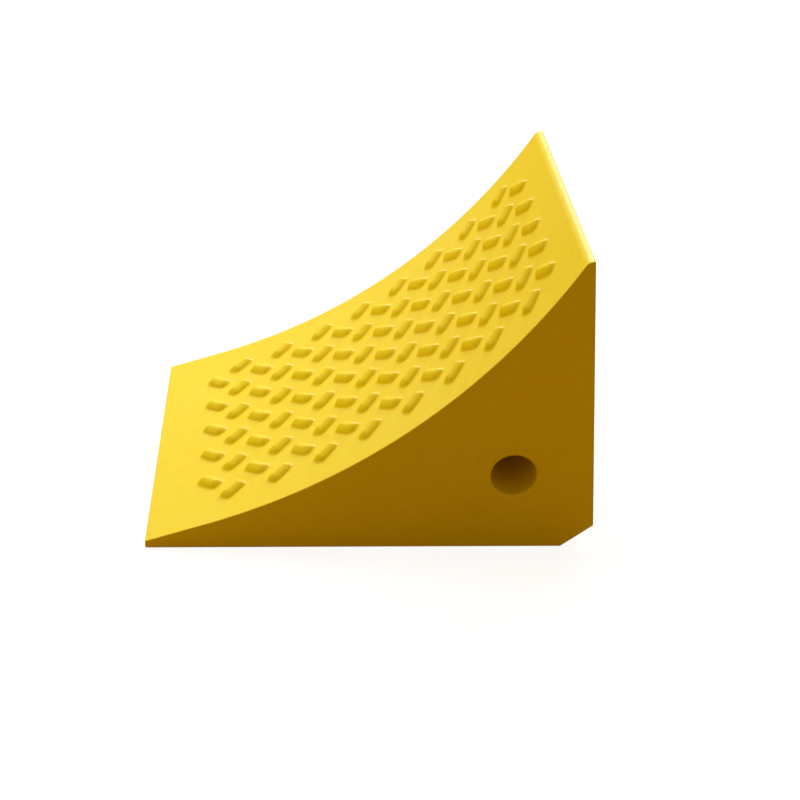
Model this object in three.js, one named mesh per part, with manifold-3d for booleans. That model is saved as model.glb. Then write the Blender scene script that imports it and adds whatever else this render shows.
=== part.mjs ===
// Wheel chock for heavy trucks and trailers: a cast urethane wedge. A tyre rolls up against
// the hollowed face, whose raised bars grip the tread, and the rope bore through the heel
// takes a carrying rope.
//
// Three bonded layers make the block: a hard body, a softer facing that meets the tyre and
// forms the toe, and a ground layer with grip grooves under the body.
//
// Millimetres, +Z up. Outlines are drawn from the toe: +X runs back from the toe, Y = 0 is
// midway across the width, and the whole block is then centred on the origin.
import * as THREE from "three";
import { mergeVertices } from "three/addons/utils/BufferGeometryUtils.js";
import Module from "manifold-3d";

const wasm = await Module();
wasm.setup();

// The block.
const LENGTH = 400; // toe to the rearmost line, at the top of the heel chamfer
const WIDTH = 320; // across the ground
const HEIGHT = 279; // ground to the ridge
const SIDE_DRAFT = THREE.MathUtils.degToRad(1.25); // each side leans in as it rises
const BACK_RAKE = THREE.MathUtils.degToRad(4.8); // the back leans towards the toe as it rises
const HEEL_RUN = 28; // chamfer under the back, along the ground
const HEEL_RISE = 22; // the same chamfer, up the back

// The tyre face: a straight lead-in, then a hollow arc that starts tangent to it.
const TOE_HEIGHT = 7;
const LEAD_IN_LENGTH = 57;
const LEAD_IN_SLOPE = THREE.MathUtils.degToRad(18.2);
const FACE_RADIUS = 585;
const RIDGE_ROUND = 8.5; // rounding between the tyre face and the flat of the ridge

// Raised bars, in columns that run across the face.
const BAR_COLUMNS = 17;
const BAR_STEP = 23.2; // between columns along the face, and half the step across it
const FIRST_COLUMN = 58.2; // toe to the first column, along the face
const BARS_IN_EVEN_COLUMN = 5;
const BAR_ANGLE = THREE.MathUtils.degToRad(45); // even columns turn one way, odd the other
const BAR_LENGTH = 26;
const BAR_WIDTH = 12;
const BAR_HEIGHT = 4.6;
const BAR_BEVEL = 3;
const BAR_ROOT = 3; // how far a bar reaches below the face, into the facing

// The layers.
const FACING_THICKNESS = 10;
const NOSE_LENGTH = 45; // the facing alone fills the toe this far back
const GROUND_LAYER = 8;
const BOND_GAP = 0.3; // clearance kept between neighbouring layers

// The rope bore, straight through the heel.
const BORE_RADIUS = 20;
const BORE_FROM_TOE = 325;
const BORE_ABOVE_GROUND = 74.2;
const BORE_SIDES = 48;

// Grip grooves under the ground layer, which stop short of both sides.
const GROOVES = 9;
const GROOVE_PITCH = 34;
const FIRST_GROOVE = 75; // toe to the middle of the first groove
const GROOVE_WIDTH = 10;
const GROOVE_DEPTH = 3;
const GROOVE_SIDE_MARGIN = 24;

// Fineness of the curves.
const FACE_STEPS = 24;
const RIDGE_STEPS = 5;
const BAR_END_STEPS = 2; // per quarter turn of a bar's round end
const GROOVE_END_STEPS = 4; // per quarter turn of a groove's round end

// How far a cutting shape runs past the block.
const OVERCUT = 60;

const leadInEnd = new THREE.Vector2(
  LEAD_IN_LENGTH * Math.cos(LEAD_IN_SLOPE),
  TOE_HEIGHT + LEAD_IN_LENGTH * Math.sin(LEAD_IN_SLOPE),
);
const faceCentre = new THREE.Vector2(
  leadInEnd.x - FACE_RADIUS * Math.sin(LEAD_IN_SLOPE),
  leadInEnd.y + FACE_RADIUS * Math.cos(LEAD_IN_SLOPE),
);
const ridgeSlope = Math.acos(
  (faceCentre.y - HEIGHT + RIDGE_ROUND) / (FACE_RADIUS + RIDGE_ROUND),
);

// A point of the hollow arc, or of one that lies deeper in the block, by its slope.
function arcPoint(slope, depth) {
  const radius = FACE_RADIUS + depth;
  return new THREE.Vector2(
    faceCentre.x + radius * Math.sin(slope),
    faceCentre.y - radius * Math.cos(slope),
  );
}

// Points of that arc from one slope to another, both included.
function arcPoints(from, to, steps, depth) {
  const points = [];
  for (let i = 0; i <= steps; i += 1) {
    points.push(arcPoint(THREE.MathUtils.lerp(from, to, i / steps), depth));
  }
  return points;
}

// How far back the back face is at a height.
function backAt(height) {
  return LENGTH + (HEEL_RISE - height) * Math.tan(BACK_RAKE);
}

// The convex rounding between the tyre face and the ridge.
function ridgePoints() {
  const centre = arcPoint(ridgeSlope, RIDGE_ROUND);
  const points = [];
  for (let i = 1; i <= RIDGE_STEPS; i += 1) {
    const slope = ridgeSlope * (1 - i / RIDGE_STEPS);
    points.push(
      new THREE.Vector2(
        centre.x - RIDGE_ROUND * Math.sin(slope),
        centre.y + RIDGE_ROUND * Math.cos(slope),
      ),
    );
  }
  return points;
}

// A side-view outline carried across the width.
function acrossWidth(points, width) {
  const shape = new THREE.Shape(points);
  const geometry = new THREE.ExtrudeGeometry(shape, { depth: width, bevelEnabled: false });
  geometry.rotateX(Math.PI / 2);
  return geometry.translate(0, width / 2, 0);
}

// Leans both sides of a full-width shape in by the draft.
function draftSides(geometry) {
  const position = geometry.attributes.position;
  for (let i = 0; i < position.count; i += 1) {
    const half = WIDTH / 2 - position.getZ(i) * Math.tan(SIDE_DRAFT);
    position.setY(i, Math.sign(position.getY(i)) * half);
  }
  return geometry;
}

// An oblong with round ends, centred, its long side along X.
function oblong(length, width) {
  const radius = width / 2;
  const reach = length / 2 - radius;
  const shape = new THREE.Shape();
  shape.absarc(reach, 0, radius, -Math.PI / 2, Math.PI / 2);
  shape.absarc(-reach, 0, radius, Math.PI / 2, (3 * Math.PI) / 2);
  return shape;
}

function toSolid(geometry) {
  geometry.deleteAttribute("normal");
  geometry.deleteAttribute("uv");
  const merged = mergeVertices(geometry, 1e-4);
  return new wasm.Manifold(
    new wasm.Mesh({
      numProp: 3,
      vertProperties: new Float32Array(merged.attributes.position.array),
      triVerts: new Uint32Array(merged.index.array),
    }),
  );
}

function toMesh(name, solid, material) {
  const { vertProperties, triVerts } = solid.getMesh();
  const geometry = new THREE.BufferGeometry();
  geometry.setAttribute("position", new THREE.BufferAttribute(vertProperties, 3));
  geometry.setIndex(new THREE.BufferAttribute(triVerts, 1));
  geometry.computeVertexNormals();
  const mesh = new THREE.Mesh(geometry, material);
  mesh.name = name;
  return mesh;
}

// The whole block, before it is parted into layers.
function wholeBlock() {
  const outline = [
    new THREE.Vector2(0, 0),
    new THREE.Vector2(0, TOE_HEIGHT),
    ...arcPoints(LEAD_IN_SLOPE, ridgeSlope, FACE_STEPS, 0),
    ...ridgePoints(),
    new THREE.Vector2(backAt(HEIGHT), HEIGHT),
    new THREE.Vector2(LENGTH, HEEL_RISE),
    new THREE.Vector2(LENGTH - HEEL_RUN, 0),
  ].reverse();
  return toSolid(draftSides(acrossWidth(outline, WIDTH)));
}

// Everything behind the nose that lies deeper than this below the tyre face.
function behindFacing(depth) {
  const nose = NOSE_LENGTH + depth - FACING_THICKNESS;
  const leadIn = arcPoint(LEAD_IN_SLOPE, depth);
  const noseTop = leadIn.y - (leadIn.x - nose) * Math.tan(LEAD_IN_SLOPE);
  const pastRidge = ridgeSlope + OVERCUT / FACE_RADIUS;
  const curve = arcPoints(LEAD_IN_SLOPE, pastRidge, FACE_STEPS, depth);
  const outline = [
    new THREE.Vector2(nose, -OVERCUT),
    new THREE.Vector2(nose, noseTop),
    ...curve,
    new THREE.Vector2(LENGTH + OVERCUT, curve[curve.length - 1].y),
    new THREE.Vector2(LENGTH + OVERCUT, -OVERCUT),
  ].reverse();
  return toSolid(acrossWidth(outline, WIDTH + OVERCUT));
}

// Everything from the ground up to a height.
function belowHeight(height) {
  const box = new THREE.BoxGeometry(2 * LENGTH, WIDTH + OVERCUT, height + OVERCUT);
  return toSolid(box.translate(LENGTH / 2, 0, (height - OVERCUT) / 2));
}

// One bar where a column crosses the face, at an angle to the face's own slope.
function faceBar(alongFace, acrossFace, angle) {
  const bevel = { bevelThickness: BAR_BEVEL, bevelSize: BAR_BEVEL, bevelOffset: -BAR_BEVEL };
  const geometry = new THREE.ExtrudeGeometry(oblong(BAR_LENGTH, BAR_WIDTH), {
    depth: BAR_HEIGHT + BAR_ROOT - 2 * BAR_BEVEL,
    bevelSegments: 1,
    curveSegments: BAR_END_STEPS,
    ...bevel,
  });
  const slope = LEAD_IN_SLOPE + (alongFace - LEAD_IN_LENGTH) / FACE_RADIUS;
  const foot = arcPoint(slope, 0);
  geometry.translate(0, 0, BAR_BEVEL - BAR_ROOT);
  geometry.rotateZ(angle);
  geometry.rotateY(-slope);
  return toSolid(geometry.translate(foot.x, acrossFace, foot.y));
}

// The facing with its bars. Odd columns hold one bar more, half a step to the side.
function tyreFacing(block) {
  const bars = [];
  for (let column = 0; column < BAR_COLUMNS; column += 1) {
    const odd = column % 2;
    const count = BARS_IN_EVEN_COLUMN + odd;
    for (let row = 0; row < count; row += 1) {
      const acrossFace = (row - (count - 1) / 2) * 2 * BAR_STEP;
      const angle = odd ? BAR_ANGLE : -BAR_ANGLE;
      bars.push(faceBar(FIRST_COLUMN + column * BAR_STEP, acrossFace, angle));
    }
  }
  const skin = block.subtract(behindFacing(FACING_THICKNESS));
  return bars.reduce((facing, bar) => facing.add(bar), skin);
}

// The body above the ground layer, with the rope bore through it.
function chockBody(block) {
  const inner = block.intersect(behindFacing(FACING_THICKNESS + BOND_GAP));
  const bore = new THREE.CylinderGeometry(BORE_RADIUS, BORE_RADIUS, WIDTH + OVERCUT, BORE_SIDES);
  const boreSolid = toSolid(bore.translate(BORE_FROM_TOE, 0, BORE_ABOVE_GROUND));
  return inner.subtract(belowHeight(GROUND_LAYER + BOND_GAP)).subtract(boreSolid);
}

// The ground layer, with its grip grooves.
function groundLayer(block) {
  const inner = block.intersect(behindFacing(FACING_THICKNESS + BOND_GAP));
  let layer = inner.intersect(belowHeight(GROUND_LAYER));
  for (let i = 0; i < GROOVES; i += 1) {
    const groove = new THREE.ExtrudeGeometry(
      oblong(WIDTH - 2 * GROOVE_SIDE_MARGIN, GROOVE_WIDTH),
      { depth: GROOVE_DEPTH + OVERCUT, bevelEnabled: false, curveSegments: GROOVE_END_STEPS },
    );
    groove.rotateZ(Math.PI / 2);
    groove.translate(FIRST_GROOVE + i * GROOVE_PITCH, 0, -OVERCUT);
    layer = layer.subtract(toSolid(groove));
  }
  return layer;
}

const urethane = { color: 0xf2c81e, roughness: 0.55, metalness: 0 };
const block = wholeBlock();
const chock = new THREE.Group();
chock.name = "wheel_chock";
chock.position.x = -LENGTH / 2;
chock.add(
  toMesh("body_block", chockBody(block), new THREE.MeshStandardMaterial(urethane)),
  toMesh("tyre_face_pad", tyreFacing(block), new THREE.MeshStandardMaterial(urethane)),
  toMesh("ground_pad", groundLayer(block), new THREE.MeshStandardMaterial(urethane)),
);

export default chock;
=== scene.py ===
"""A cast urethane wheel chock for large trucks, in a plain white studio.

Three fine meshes stand for the three layers of the imported model: the body with its rope bore, the tyre
facing with its raised bars, and the grooved ground layer. Each side of the block is one flat
net of triangles, drawn in side view and shared out between the layers, so neighbours meet
edge to edge. The bars are moulded into the tyre face, which is one sheet of square cells.

Lengths in the shape code are millimetres; meshes are written in metres.
"""
import math

import bmesh
import bpy
from mathutils import Matrix, Vector
from mathutils.geometry import delaunay_2d_cdt


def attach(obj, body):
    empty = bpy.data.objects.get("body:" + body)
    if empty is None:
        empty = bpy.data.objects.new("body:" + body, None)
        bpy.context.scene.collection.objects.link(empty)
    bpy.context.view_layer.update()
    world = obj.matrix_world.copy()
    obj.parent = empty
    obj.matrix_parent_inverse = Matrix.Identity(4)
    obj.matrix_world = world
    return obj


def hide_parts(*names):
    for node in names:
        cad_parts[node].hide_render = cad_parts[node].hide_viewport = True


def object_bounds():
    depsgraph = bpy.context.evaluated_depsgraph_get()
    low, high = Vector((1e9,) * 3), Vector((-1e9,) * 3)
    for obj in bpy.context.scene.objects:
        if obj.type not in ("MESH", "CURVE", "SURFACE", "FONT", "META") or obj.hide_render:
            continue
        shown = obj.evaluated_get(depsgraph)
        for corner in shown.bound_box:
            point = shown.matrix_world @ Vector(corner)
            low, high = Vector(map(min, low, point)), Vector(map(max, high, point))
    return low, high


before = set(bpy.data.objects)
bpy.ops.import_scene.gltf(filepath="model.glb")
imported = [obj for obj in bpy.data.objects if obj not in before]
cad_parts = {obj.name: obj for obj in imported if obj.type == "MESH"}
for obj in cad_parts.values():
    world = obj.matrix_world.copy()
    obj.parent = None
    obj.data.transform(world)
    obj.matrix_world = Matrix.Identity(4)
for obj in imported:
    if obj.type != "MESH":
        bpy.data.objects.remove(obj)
cad_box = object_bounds()

MM = 0.001

# The block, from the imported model's box.
CAD_LOW, CAD_HIGH = cad_box
LENGTH = (CAD_HIGH.x - CAD_LOW.x) / MM
WIDTH = (CAD_HIGH.y - CAD_LOW.y) / MM
HEIGHT = (CAD_HIGH.z - CAD_LOW.z) / MM

# The rest of the block's form. Outlines are measured back from the toe and up from the ground.
SIDE_DRAFT = math.radians(1.25)
BACK_RAKE = math.radians(4.8)
HEEL_RUN = 28
HEEL_RISE = 22
TOE_HEIGHT = 7
LEAD_IN_LENGTH = 57
LEAD_IN_SLOPE = math.radians(18.2)
FACE_RADIUS = 585
RIDGE_ROUND = 8.5
BORE_FROM_TOE = 325
BORE_ABOVE_GROUND = 74.2
BORE_RADIUS = 20

# Where the layers part.
FACING_THICKNESS = 10
NOSE_LENGTH = 45
GROUND_LAYER = 8

# Rounded edges.
ARRIS = 0.9
TOE_ROUND = 1.1
CORNER_ROUND = 1.2
RIDGE_CORNER_ROUND = 0.95
BORE_MOUTH = 2.8
ARRIS_STEPS = 5
CORNER_STEPS = 6
RIDGE_STEPS = 10
MOUTH_STEPS = 4
BORE_SIDES = 96

# Raised bars, in columns across the face. Cells of the sheet are squares turned by 45 degrees.
BAR_COLUMNS = 17
BAR_STEP = 23.2
FIRST_COLUMN = 58.2
BARS_IN_EVEN_COLUMN = 5
BAR_LENGTH = 23.5
BAR_WIDTH = 12
BAR_HEIGHT = 4.8
BAR_FILLET = 3
BAR_CROWN = 1.45  # 2 is an ellipse across the bar, 1 is a tent
BAR_END_REACH = 0.15  # how much steeper a bar's ends are than its sides
BAR_END_SQUARENESS = 2.8  # 2 is a half circle
BAR_FOOT_MARGIN = 0.6
FILLET_TURNS = [math.radians(angle) for angle in (20, 40)]
CREST_TURNS = [math.radians(angle) for angle in (22, 38, 52, 66, 78)]
CELL = BAR_STEP * math.sqrt(2)
CELL_STEPS = 10
SPARE_COLUMNS = 4  # plain columns past the barred ones at each end, before the sheet is cut
SHEET_ROWS = 9  # rows each way from mid-width, one BAR_STEP apart, before the sheet is cut

# Grip grooves under the ground layer.
GROOVES = 9
GROOVE_PITCH = 34
FIRST_GROOVE = 75
GROOVE_WIDTH = 10
GROOVE_DEPTH = 3
GROOVE_SIDE_MARGIN = 24
GROOVE_END_STEPS = 8

SHARP_ANGLE = math.radians(50)

# The joint under the facing, drawn a little past the ridge.
JOINT_STEPS = 60
JOINT_OVERRUN = math.radians(3)

# Tolerances, in millimetres.
SAME_POINT = 0.0005
ON_LINE = 0.001
SHEET_WELD = 0.01
CUT_SNAP = 0.02
ARRIS_SNAP = 0.03
NET_TOLERANCE = 1e-5

# The urethane's colour, and the studio, in metres and degrees.
YELLOW = (0.9, 0.72, 0.005)
FLOOR_SIZE = 40
FLOOR_DROP = 0.0005
CAMERA_PLACE = (-0.06523, -1.25604, 0.79294)
CAMERA_TURN = -2.761
CAMERA_TILT = 29.11  # below the horizon
CAMERA_ROLL = 1.406
CAMERA_LENS = 67.55  # millimetres
CAMERA_SHIFT = (0.05, -0.038)  # widths of the frame


# ---- Outline of the block in side view ---------------------------------------------------

lead_in_end = Vector((
    LEAD_IN_LENGTH * math.cos(LEAD_IN_SLOPE),
    TOE_HEIGHT + LEAD_IN_LENGTH * math.sin(LEAD_IN_SLOPE),
))
face_centre = lead_in_end + FACE_RADIUS * Vector((-math.sin(LEAD_IN_SLOPE), math.cos(LEAD_IN_SLOPE)))
ridge_slope = math.acos((face_centre.y - HEIGHT + RIDGE_ROUND) / (FACE_RADIUS + RIDGE_ROUND))
face_end = LEAD_IN_LENGTH + FACE_RADIUS * (ridge_slope - LEAD_IN_SLOPE)


def face_slope(along):
    return LEAD_IN_SLOPE + max(0, along - LEAD_IN_LENGTH) / FACE_RADIUS


def face_point(along):
    """The tyre face in side view, by the distance along it from the toe."""
    if along < LEAD_IN_LENGTH:
        back = LEAD_IN_LENGTH - along
        return lead_in_end - back * Vector((math.cos(LEAD_IN_SLOPE), math.sin(LEAD_IN_SLOPE)))
    slope = face_slope(along)
    return face_centre + FACE_RADIUS * Vector((math.sin(slope), -math.cos(slope)))


def face_depth(point):
    """How far a point in side view lies below the tyre face."""
    past = point - lead_in_end
    if past.x * math.cos(LEAD_IN_SLOPE) + past.y * math.sin(LEAD_IN_SLOPE) < 0:
        return past.x * math.sin(LEAD_IN_SLOPE) - past.y * math.cos(LEAD_IN_SLOPE)
    return (point - face_centre).length - FACE_RADIUS


def back_at(height):
    return LENGTH + (HEEL_RISE - height) * math.tan(BACK_RAKE)


def rounded(before, corner, after, radius, steps):
    """Points of the arc that rounds a corner, from the side of one neighbour to the other."""
    first = (before - corner).normalized()
    last = (after - corner).normalized()
    half = first.angle(last) / 2
    reach = radius / math.tan(half)
    centre = corner + (first + last).normalized() * radius / math.sin(half)
    start = corner + first * reach - centre
    end = corner + last * reach - centre
    turn = start.angle_signed(end)
    return [centre + Matrix.Rotation(-turn * i / steps, 2) @ start for i in range(steps + 1)]


def block_outline(face_stations):
    """The whole outline, anticlockwise from the toe's foot.

    The tyre face comes last but for the toe's top, with a point at each of the given stations.
    """
    toe_foot = Vector((0, 0))
    heel_foot = Vector((LENGTH - HEEL_RUN, 0))
    heel_top = Vector((LENGTH, HEEL_RISE))
    ridge_back = Vector((back_at(HEIGHT), HEIGHT))
    ridge_centre = face_centre + (FACE_RADIUS + RIDGE_ROUND) * Vector(
        (math.sin(ridge_slope), -math.cos(ridge_slope))
    )
    ridge_front = ridge_centre + Vector((0, RIDGE_ROUND))
    toe_top = Vector((0, TOE_HEIGHT))
    outline = rounded(toe_top, toe_foot, heel_foot, TOE_ROUND, CORNER_STEPS)
    outline += rounded(toe_foot, heel_foot, heel_top, CORNER_ROUND, CORNER_STEPS)
    outline += rounded(heel_foot, heel_top, ridge_back, CORNER_ROUND, CORNER_STEPS)
    outline += rounded(heel_top, ridge_back, ridge_front, RIDGE_CORNER_ROUND, CORNER_STEPS)
    for i in range(RIDGE_STEPS):
        lean = ridge_slope * i / RIDGE_STEPS
        outline.append(ridge_centre + RIDGE_ROUND * Vector((-math.sin(lean), math.cos(lean))))
    outline += [face_point(along) for along in reversed(face_stations)]
    lead_in = face_point(LEAD_IN_LENGTH)
    outline += rounded(lead_in, toe_top, toe_foot, TOE_ROUND, CORNER_STEPS)[1:]
    return outline


# Where the face starts behind the toe's rounded top.
toe_reach = TOE_ROUND / math.tan(math.radians(45) + LEAD_IN_SLOPE / 2)


def inset(outline, depth):
    """The outline moved inwards by a depth, point for point."""
    moved = []
    for i, point in enumerate(outline):
        before = (point - outline[i - 1]).normalized()
        after = (outline[(i + 1) % len(outline)] - point).normalized()
        inward = Vector((-before.y - after.y, before.x + after.x)).normalized()
        stretch = inward.x * -before.y + inward.y * before.x
        moved.append(point + inward * depth / stretch)
    return moved


# ---- The flat net of one side ------------------------------------------------------------

def arris_drop(depth):
    """How far the side falls back at a depth below the nearest outer surface."""
    left = max(0.0, ARRIS - depth)
    return ARRIS - math.sqrt(ARRIS * ARRIS - left * left)


def mouth_drop(radius):
    """How far the side falls back at a distance from the bore's axis."""
    left = min(BORE_MOUTH, max(0.0, BORE_RADIUS + BORE_MOUTH - radius))
    return BORE_MOUTH - math.sqrt(BORE_MOUTH * BORE_MOUTH - left * left)


ARRIS_DEPTHS = [ARRIS * (1 - math.cos(math.pi / 2 * i / ARRIS_STEPS)) for i in range(ARRIS_STEPS + 1)]


def outline_depth(point, outline):
    """Distance from a point to the outline, taken as exact where it is one of the arris's own."""
    nearest = ARRIS
    for i, end in enumerate(outline):
        start = outline[i - 1]
        along = end - start
        share = min(1, max(0, (point - start).dot(along) / along.length_squared))
        nearest = min(nearest, (point - start - along * share).length)
    exact = min(ARRIS_DEPTHS, key=lambda depth: abs(depth - nearest))
    return exact if abs(exact - nearest) < ARRIS_SNAP else nearest


def inside(point, outline):
    crossings = 0
    for i, end in enumerate(outline):
        start = outline[i - 1]
        if (start.y > point.y) != (end.y > point.y):
            crossing = start.x + (point.y - start.y) * (end.x - start.x) / (end.y - start.y)
            crossings += crossing > point.x
    return crossings % 2 == 1


def side_net(outline):
    """The net of one side: its points, how far out each lies, and its triangles by layer."""
    points = []
    edges = []

    def draw(line, closed=False):
        first = len(points)
        points.extend(line)
        last = len(points) - 1
        edges.extend((i, i + 1) for i in range(first, last))
        if closed:
            edges.append((last, first))

    for depth in ARRIS_DEPTHS:
        draw(inset(outline, depth) if depth else outline, closed=True)
    bore_centre = Vector((BORE_FROM_TOE, BORE_ABOVE_GROUND))
    for i in range(MOUTH_STEPS + 1):
        radius = BORE_RADIUS + BORE_MOUTH * (1 - math.sin(math.pi / 2 * i / MOUTH_STEPS))
        turns = [2 * math.pi * j / BORE_SIDES for j in range(BORE_SIDES)]
        draw([bore_centre + radius * Vector((math.cos(t), math.sin(t))) for t in turns], closed=True)
    deep = FACE_RADIUS + FACING_THICKNESS
    last_slope = ridge_slope + JOINT_OVERRUN
    joint = []
    for i in range(JOINT_STEPS + 1):
        slope = LEAD_IN_SLOPE + (last_slope - LEAD_IN_SLOPE) * i / JOINT_STEPS
        joint.append(face_centre + deep * Vector((math.sin(slope), -math.cos(slope))))
    rise = (joint[0].x - NOSE_LENGTH) * math.tan(LEAD_IN_SLOPE)
    nose_top = Vector((NOSE_LENGTH, joint[0].y - rise))
    draw([Vector((NOSE_LENGTH, -GROUND_LAYER)), nose_top, *joint])
    draw([Vector((NOSE_LENGTH, GROUND_LAYER)), Vector((LENGTH + GROUND_LAYER, GROUND_LAYER))])

    spots, _, triangles, origins, _, _ = delaunay_2d_cdt(points, edges, [], 0, NET_TOLERANCE)
    layers = {"facing": [], "ground": [], "body": []}
    for triangle in triangles:
        middle = sum((spots[i] for i in triangle), Vector((0, 0))) / 3
        if (middle - bore_centre).length < BORE_RADIUS * math.cos(math.pi / BORE_SIDES):
            continue
        if not inside(middle, outline):
            continue
        if middle.x < NOSE_LENGTH or face_depth(middle) < FACING_THICKNESS:
            layers["facing"].append(triangle)
        elif middle.y < GROUND_LAYER:
            layers["ground"].append(triangle)
        else:
            layers["body"].append(triangle)
    reach = []
    for spot in spots:
        half = WIDTH / 2 - spot.y * math.tan(SIDE_DRAFT)
        drop = arris_drop(outline_depth(spot, outline)) + mouth_drop((spot - bore_centre).length)
        reach.append(half - drop)
    return {"spots": spots, "reach": reach, "origins": origins, "layers": layers}


# ---- The tyre face's sheet ---------------------------------------------------------------

def bar_section():
    """Half of a bar's section: distance from its middle line, and height, from foot to crest."""
    half = BAR_WIDTH / 2
    section = [(half + BAR_FILLET + BAR_FOOT_MARGIN, 0), (half + BAR_FILLET, 0)]
    for turn in FILLET_TURNS:
        section.append((half + BAR_FILLET * (1 - math.sin(turn)), BAR_FILLET * (1 - math.cos(turn))))
    foot_out, foot_up = section[-1]
    for turn in CREST_TURNS:
        out = foot_out * math.cos(turn) ** (2 / BAR_CROWN)
        up = foot_up + (BAR_HEIGHT - foot_up) * math.sin(turn) ** (2 / BAR_CROWN)
        section.append((out, up))
    return section


def square_loop():
    """Points round a cell's edge, from its lower right corner, anticlockwise."""
    half = CELL / 2
    corners = [(half, -half), (half, half), (-half, half), (-half, -half)]
    loop = []
    for i, corner in enumerate(corners):
        following = corners[(i + 1) % 4]
        for j in range(CELL_STEPS):
            share = j / CELL_STEPS
            loop.append(Vector(corner).lerp(Vector(following), share))
    return loop


def oblong_loop(radius):
    """Points round an oblong along X, matched one for one with square_loop's."""
    reach = (BAR_LENGTH - BAR_WIDTH) / 2 + BAR_END_REACH * max(0, BAR_WIDTH / 2 - radius)
    loop = []
    for i in range(4 * CELL_STEPS):
        side, step = divmod(i, CELL_STEPS)
        share = step / CELL_STEPS
        if side % 2 == 0:
            turn = math.pi * (share - 0.5)
            out = radius * math.cos(turn) ** (2 / BAR_END_SQUARENESS)
            aside = radius * math.copysign(abs(math.sin(turn)) ** (2 / BAR_END_SQUARENESS), turn)
            facing = 1 - side
            loop.append(Vector((facing * (reach + out), facing * aside)))
        else:
            facing = 2 - side
            loop.append(Vector((facing * reach * (1 - 2 * share), facing * radius)))
    return loop


def add_bar_cell(sheet, centre, turn):
    """A cell with its bar, as rings of quads from the cell's edge up to the bar's crest."""
    place = Matrix.Rotation(turn, 2)

    def ring(loop, height):
        return [sheet.verts.new((*(centre + place @ p), height)) for p in loop]

    square = square_loop()
    section = bar_section()
    foot = oblong_loop(section[0][0])
    rings = [ring(square, 0)]
    rings.append(ring([a.lerp(b, 0.5) for a, b in zip(square, foot)], 0))
    rings.extend(ring(oblong_loop(radius), height) for radius, height in section)
    crest_loop = oblong_loop(0)
    crest = {}
    for point in crest_loop:
        key = round(point.x, 4)
        if key not in crest:
            crest[key] = sheet.verts.new((*(centre + place @ point), BAR_HEIGHT))
    rings.append([crest[round(point.x, 4)] for point in crest_loop])
    count = len(square)
    for outer, inner in zip(rings, rings[1:]):
        for i in range(count):
            j = (i + 1) % count
            corners = [outer[i], outer[j], inner[j], inner[i]]
            sheet.faces.new(list(dict.fromkeys(corners)))


def add_plain_cell(sheet, centre):
    half = CELL / 2
    turn = Matrix.Rotation(math.pi / 4, 2)
    steps = [CELL * i / CELL_STEPS - half for i in range(CELL_STEPS + 1)]
    grid = [[sheet.verts.new((*(centre + turn @ Vector((x, y))), 0)) for x in steps] for y in steps]
    for row, above in zip(grid, grid[1:]):
        for i in range(CELL_STEPS):
            sheet.faces.new([row[i], row[i + 1], above[i + 1], above[i]])


def has_bar(column, row):
    """Whether the cell in a column at a row, counted from mid-width, has a bar."""
    reach = BARS_IN_EVEN_COLUMN - 1 + column % 2
    return 0 <= column < BAR_COLUMNS and abs(row) <= reach


def face_sheet():
    """The tyre face laid flat: X along it from the toe, Y across it, Z up out of it."""
    sheet = bmesh.new()
    columns = range(-SPARE_COLUMNS, BAR_COLUMNS + SPARE_COLUMNS)
    rows = range(-SHEET_ROWS, SHEET_ROWS + 1)
    for column in columns:
        for row in rows:
            if (column + row) % 2:
                continue
            centre = Vector((FIRST_COLUMN + column * BAR_STEP, row * BAR_STEP))
            if has_bar(column, row):
                add_bar_cell(sheet, centre, math.pi / 4 if column % 2 else -math.pi / 4)
            else:
                add_plain_cell(sheet, centre)
    bmesh.ops.remove_doubles(sheet, verts=sheet.verts, dist=SHEET_WELD)
    edge = WIDTH / 2 - ARRIS
    cuts = [
        ((toe_reach, 0, 0), (-1, 0, 0)),
        ((face_end, 0, 0), (1, 0, 0)),
        ((0, edge, 0), (0, 1, 0)),
        ((0, -edge, 0), (0, -1, 0)),
    ]
    for place, away in cuts:
        everything = sheet.verts[:] + sheet.edges[:] + sheet.faces[:]
        bmesh.ops.bisect_plane(
            sheet, geom=everything, dist=SHEET_WELD, plane_co=place, plane_no=away, clear_outer=True
        )
    for vert in sheet.verts:
        for limit in (toe_reach, face_end):
            if abs(vert.co.x - limit) < CUT_SNAP:
                vert.co.x = limit
        if abs(abs(vert.co.y) - edge) < CUT_SNAP:
            vert.co.y = math.copysign(edge, vert.co.y)
    return sheet


def edge_stations(sheet):
    """Distances along the face of the sheet's points on its far edge, in order."""
    edge = WIDTH / 2 - ARRIS
    return sorted(v.co.x for v in sheet.verts if v.co.y > edge - ON_LINE)


def cross_row(sheet, along):
    """The sheet's points right across the face at one end, near side first."""
    row = [v for v in sheet.verts if abs(v.co.x - along) < ON_LINE]
    return sorted(row, key=lambda v: v.co.y)


def bend_sheet(sheet):
    """Lays the flat sheet on the tyre face, and draws its margins in to the drafted sides."""
    kept = (BARS_IN_EVEN_COLUMN + 1) * BAR_STEP
    edge = WIDTH / 2 - ARRIS
    for vert in sheet.verts:
        along, across, height = vert.co
        slope = face_slope(along)
        foot = face_point(along)
        reach = WIDTH / 2 - foot.y * math.tan(SIDE_DRAFT) - ARRIS
        past = abs(across) - kept
        if past > 0:
            across = math.copysign(kept + past * (reach - kept) / (edge - kept), across)
        lifted = foot + height * Vector((-math.sin(slope), math.cos(slope)))
        vert.co = (lifted.x, across, lifted.y)


# ---- Layers as meshes --------------------------------------------------------------------

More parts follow.
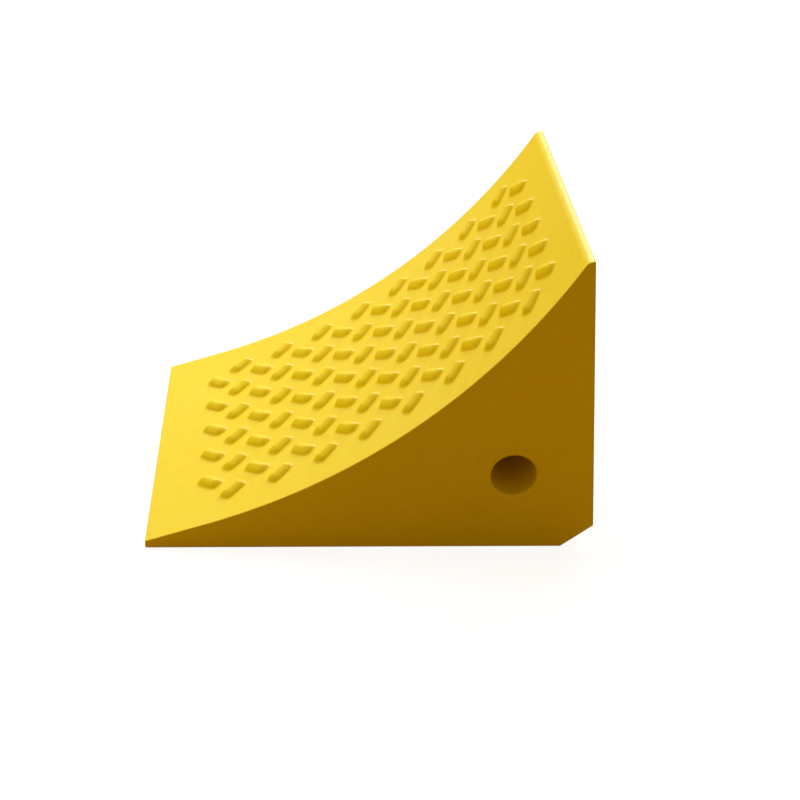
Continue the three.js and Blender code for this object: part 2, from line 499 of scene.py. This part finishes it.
def add_layer(bm, net, triangles, edge_rows=None, skip_rim=None, floor=None):
    """Adds a layer's two sides and the surfaces between them.

    edge_rows gives the points across the width at a spot, near side first, where there are
    more than two. skip_rim says which outline edges another surface covers, and floor makes
    the surface between two spots on the ground in place of a plain one.
    """
    rows = dict(edge_rows or {})
    near = {}
    far = {}
    for i in sorted({i for triangle in triangles for i in triangle}):
        spot, reach = net["spots"][i], net["reach"][i]
        near[i] = bm.verts.new((spot.x, -reach, spot.y))
        far[i] = bm.verts.new((spot.x, reach, spot.y))
        rows.setdefault(i, [near[i], far[i]])
    directed = set()
    for a, b, c in triangles:
        bm.faces.new((near[a], near[b], near[c]))
        bm.faces.new((far[c], far[b], far[a]))
        directed.update([(a, b), (b, c), (c, a)])
    for a, b in sorted(directed):
        if (b, a) in directed or (skip_rim and skip_rim(a, b)):
            continue
        on_ground = max(net["spots"][a].y, net["spots"][b].y) < SAME_POINT
        if floor and on_ground:
            floor(bm, rows[a], rows[b])
        else:
            bm.faces.new(rows[a] + rows[b][::-1])


def groove_loop(x):
    radius = GROOVE_WIDTH / 2
    reach = WIDTH / 2 - GROOVE_SIDE_MARGIN - radius
    loop = []
    for end in (1, -1):
        for i in range(GROOVE_END_STEPS + 1):
            turn = math.pi * i / GROOVE_END_STEPS
            loop.append(Vector((x + end * radius * math.cos(turn), end * (reach + radius * math.sin(turn)))))
    return loop


def grooved_floor(bm, first_row, last_row):
    """The ground face between two rows of two points each, with its grip grooves."""
    corners = [first_row[0], first_row[1], last_row[1], last_row[0]]
    points = [Vector(v.co.xy) for v in corners]
    edges = [(0, 1), (1, 2), (2, 3), (3, 0)]
    verts = list(corners)
    grooves = []
    for i in range(GROOVES):
        loop = groove_loop(FIRST_GROOVE + i * GROOVE_PITCH)
        first = len(points)
        points += loop
        verts += [bm.verts.new((p.x, p.y, 0)) for p in loop]
        edges += [(first + j, first + (j + 1) % len(loop)) for j in range(len(loop))]
        grooves.append((loop, verts[first:]))
    spots, _, triangles, origins, _, _ = delaunay_2d_cdt(points, edges, [], 0, NET_TOLERANCE)
    for triangle in triangles:
        middle = sum((spots[i] for i in triangle), Vector((0, 0))) / 3
        if not any(inside(middle, loop) for loop, _ in grooves):
            bm.faces.new([verts[origins[i][0]] for i in reversed(triangle)])
    for loop, mouth in grooves:
        roof = [bm.verts.new((p.x, p.y, GROOVE_DEPTH)) for p in loop]
        for i in range(len(loop)):
            j = (i + 1) % len(loop)
            bm.faces.new((mouth[j], mouth[i], roof[i], roof[j]))
        bm.faces.new(roof[::-1])


def finish_piece(name, bm, material, node):
    """Writes a layer as an object in the frame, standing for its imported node."""
    bmesh.ops.remove_doubles(bm, verts=bm.verts, dist=SAME_POINT)
    bmesh.ops.transform(bm, matrix=Matrix.Translation((-LENGTH / 2, 0, 0)), verts=bm.verts)
    bmesh.ops.scale(bm, vec=(MM, MM, MM), verts=bm.verts)
    middle = (CAD_LOW + CAD_HIGH) / 2
    middle.z = CAD_LOW.z
    bmesh.ops.transform(bm, matrix=Matrix.Translation(middle), verts=bm.verts)
    for edge in bm.edges:
        edge.smooth = len(edge.link_faces) == 2 and edge.calc_face_angle(0) < SHARP_ANGLE
    for face in bm.faces:
        face.smooth = True
    open_edges = sum(len(edge.link_faces) != 2 for edge in bm.edges)
    if open_edges:
        raise RuntimeError(f"{name} has {open_edges} open edges")
    mesh = bpy.data.meshes.new(name)
    bm.to_mesh(mesh)
    bm.free()
    mesh.materials.append(material)
    piece = bpy.data.objects.new(name, mesh)
    bpy.context.scene.collection.objects.link(piece)
    weighted = piece.modifiers.new("flat faces stay flat", "WEIGHTED_NORMAL")
    weighted.keep_sharp = True
    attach(piece, "root")
    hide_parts(node)


# ---- Urethane ----------------------------------------------------------------------------

def add_node(tree, kind, **settings):
    node = tree.nodes.new(kind)
    for name, value in settings.items():
        if name in node.inputs:
            node.inputs[name].default_value = value
        else:
            setattr(node, name, value)
    return node


def noise(tree, place, scale, detail, roughness=0.5):
    node = add_node(tree, "ShaderNodeTexNoise", Scale=scale, Detail=detail, Roughness=roughness)
    tree.links.new(place, node.inputs["Vector"])
    return node.outputs["Fac"]


def spread(tree, value, from_low, from_high, to_low, to_high):
    """value, with one range of it mapped on to another."""
    node = tree.nodes.new("ShaderNodeMapRange")
    limits = (from_low, from_high, to_low, to_high)
    for socket, limit in zip(("From Min", "From Max", "To Min", "To Max"), limits):
        node.inputs[socket].default_value = limit
    tree.links.new(value, node.inputs["Value"])
    return node.outputs["Result"]


def tinted(tree, colour, tint, amount):
    """colour, drawn towards tint by an amount that varies over the surface."""
    node = tree.nodes.new("ShaderNodeMix")
    node.data_type = "RGBA"
    tree.links.new(amount, node.inputs["Factor"])
    tree.links.new(colour, node.inputs["A"])
    node.inputs["B"].default_value = (*tint, 1)
    return node.outputs["Result"]


def urethane(name, colour):
    """Cast urethane: faint clouds and grain, a painted highlight on sharp edges, painted warm shade in
    hollows, a fine skin, a satin sheen.
    """
    material = bpy.data.materials.new(name)
    material.use_nodes = True
    tree = material.node_tree
    shader = tree.nodes["Principled BSDF"]
    shader.inputs["IOR"].default_value = 1.48
    shader.inputs["Specular IOR Level"].default_value = 0.45
    place = tree.nodes.new("ShaderNodeTexCoord").outputs["Object"]

    clouds = noise(tree, place, 9, 3)
    grain = noise(tree, place, 160, 4, 0.6)
    skin = noise(tree, place, 420, 3, 0.55)
    pits = noise(tree, place, 1500, 2)

    base = tree.nodes.new("ShaderNodeRGB")
    base.outputs[0].default_value = (*colour, 1)
    # pale is the paler tone of the random clouds, and also the painted highlight on sharp edges.
    pale = tuple(c + 0.25 * (p - c) for c, p in zip(colour, (0.95, 0.8, 0.12)))
    deep = tuple(c * f for c, f in zip(colour, (0.93, 0.86, 0.7)))
    # warm is painted shade: the darker, more orange tone of shaded hollows.
    warm = tuple(c * f for c, f in zip(colour, (0.93, 0.7, 0.3)))
    shade = tinted(tree, base.outputs[0], pale, spread(tree, clouds, 0.42, 0.72, 0, 0.6))
    shade = tinted(tree, shade, deep, spread(tree, grain, 0.45, 0.75, 0, 0.45))
    edge = tree.nodes.new("ShaderNodeNewGeometry").outputs["Pointiness"]
    # Painted highlight: sharp convex edges, such as the bars' crests, are drawn paler, as if catching the
    # light.
    shade = tinted(tree, shade, pale, spread(tree, edge, 0.52, 0.6, 0, 0.5))
    # Painted shade: hollows such as the bars' foot fillets are drawn warmer and darker, as if in shade.
    shade = tinted(tree, shade, warm, spread(tree, edge, 0.5, 0.46, 0, 0.8))
    tree.links.new(shade, shader.inputs["Base Color"])

    gloss = spread(tree, grain, 0.3, 0.7, 0.32, 0.42)
    tree.links.new(gloss, shader.inputs["Roughness"])

    height = tree.nodes.new("ShaderNodeMath")
    height.operation = "MULTIPLY_ADD"
    tree.links.new(pits, height.inputs[0])
    height.inputs[1].default_value = 0.25
    tree.links.new(skin, height.inputs[2])
    bump = add_node(tree, "ShaderNodeBump", Strength=0.26, Distance=0.0004)
    tree.links.new(height.outputs[0], bump.inputs["Height"])
    tree.links.new(bump.outputs["Normal"], shader.inputs["Normal"])
    return material


# ---- The chock ---------------------------------------------------------------------------

sheet = face_sheet()
stations = edge_stations(sheet)
toe_row = cross_row(sheet, toe_reach)
ridge_row = cross_row(sheet, face_end)
outline = block_outline(stations)
net = side_net(outline)
bend_sheet(sheet)

ridge_station = 4 * (CORNER_STEPS + 1) + RIDGE_STEPS
toe_station = ridge_station + len(stations) - 1


def on_face(spot):
    return any(ridge_station <= origin <= toe_station for origin in net["origins"][spot])


def net_spot(station):
    return next(i for i, origins in enumerate(net["origins"]) if station in origins)


add_layer(
    sheet,
    net,
    net["layers"]["facing"],
    edge_rows={net_spot(ridge_station): ridge_row, net_spot(toe_station): toe_row},
    skip_rim=lambda a, b: on_face(a) and on_face(b),
)
finish_piece("facing", sheet, urethane("facing urethane", YELLOW), "tyre_face_pad")

body = bmesh.new()
add_layer(body, net, net["layers"]["body"])
finish_piece("body", body, urethane("body urethane", YELLOW), "body_block")

ground = bmesh.new()
add_layer(ground, net, net["layers"]["ground"], floor=grooved_floor)
finish_piece("ground_layer", ground, urethane("ground urethane", YELLOW), "ground_pad")


# ---- Studio ------------------------------------------------------------------------------

def studio_floor():
    """A plain pale floor that fades to white around the chock, and sends a dim warm light back up."""
    material = bpy.data.materials.new("pale floor")
    material.use_nodes = True
    tree = material.node_tree
    tree.nodes.clear()
    seen = add_node(tree, "ShaderNodeBsdfDiffuse", Color=(0.25, 0.25, 0.25, 1))
    glow = add_node(tree, "ShaderNodeEmission", Color=(1, 1, 1, 1))
    place = tree.nodes.new("ShaderNodeTexCoord").outputs["Object"]
    distance = add_node(tree, "ShaderNodeVectorMath", operation="LENGTH")
    tree.links.new(place, distance.inputs[0])
    fade = spread(tree, distance.outputs["Value"], 0.5, 2.5, 0.9, 1.0)
    tree.links.new(fade, glow.inputs["Strength"])
    both = tree.nodes.new("ShaderNodeAddShader")
    tree.links.new(seen.outputs[0], both.inputs[0])
    tree.links.new(glow.outputs[0], both.inputs[1])
    unseen = add_node(tree, "ShaderNodeBsdfDiffuse", Color=(0.475, 0.27, 0.02, 1))
    path = tree.nodes.new("ShaderNodeLightPath")
    choice = tree.nodes.new("ShaderNodeMixShader")
    tree.links.new(path.outputs["Is Camera Ray"], choice.inputs[0])
    tree.links.new(unseen.outputs[0], choice.inputs[1])
    tree.links.new(both.outputs[0], choice.inputs[2])
    output = tree.nodes.new("ShaderNodeOutputMaterial")
    tree.links.new(choice.outputs[0], output.inputs["Surface"])

    bpy.ops.mesh.primitive_plane_add(size=FLOOR_SIZE, location=(0, 0, CAD_LOW.z - FLOOR_DROP))
    floor = bpy.context.object
    floor.name = "floor"
    floor.data.materials.append(material)


def studio_world():
    """White behind everything, and a dim warm light from all round."""
    world = bpy.data.worlds.new("studio")
    bpy.context.scene.world = world
    world.use_nodes = True
    tree = world.node_tree
    tree.nodes.clear()
    seen = add_node(tree, "ShaderNodeBackground", Color=(1, 1, 1, 1), Strength=1.0)
    lit = add_node(tree, "ShaderNodeBackground", Color=(1, 0.66, 0.2, 1), Strength=0.32)
    path = tree.nodes.new("ShaderNodeLightPath")
    choice = tree.nodes.new("ShaderNodeMixShader")
    tree.links.new(path.outputs["Is Camera Ray"], choice.inputs[0])
    tree.links.new(lit.outputs[0], choice.inputs[1])
    tree.links.new(seen.outputs[0], choice.inputs[2])
    output = tree.nodes.new("ShaderNodeOutputWorld")
    tree.links.new(choice.outputs[0], output.inputs["Surface"])


def softbox(name, place, width, depth, power, glossy=True):
    """A rectangular lamp that faces the middle of the chock, seen in its gloss or not."""
    lamp = bpy.data.lights.new(name, "AREA")
    lamp.shape = "RECTANGLE"
    lamp.size = width
    lamp.size_y = depth
    lamp.energy = power
    holder = bpy.data.objects.new(name, lamp)
    bpy.context.scene.collection.objects.link(holder)
    middle = (CAD_LOW + CAD_HIGH) / 2
    holder.location = place
    holder.visible_glossy = glossy
    holder.rotation_euler = (middle - Vector(place)).to_track_quat("-Z", "Y").to_euler()


def studio_camera():
    """At the near side, a little to the left and above, looking down over the chock."""
    camera = bpy.data.objects.new("camera", bpy.data.cameras.new("camera"))
    bpy.context.scene.collection.objects.link(camera)
    bpy.context.scene.camera = camera
    camera.data.lens = CAMERA_LENS
    camera.data.shift_x, camera.data.shift_y = CAMERA_SHIFT
    turn = Matrix.Rotation(math.radians(CAMERA_TURN), 4, "Z")
    tilt = Matrix.Rotation(math.radians(90 - CAMERA_TILT), 4, "X")
    roll = Matrix.Rotation(math.radians(CAMERA_ROLL), 4, "Z")
    camera.matrix_world = Matrix.Translation(CAMERA_PLACE) @ turn @ tilt @ roll


studio_floor()
studio_world()
softbox("key light", (-1.44, 0.96, 1.8), 1.6, 1.6, 37, glossy=False)
softbox("back light", (0.84, 2.44, 1.9), 3.0, 0.8, 70)
softbox("backdrop glow", (-1.1, 2.7, 1.05), 2.6, 1.4, 7)
studio_camera()

scene = bpy.context.scene
scene.view_settings.view_transform = "Standard"
scene.view_settings.look = "None"
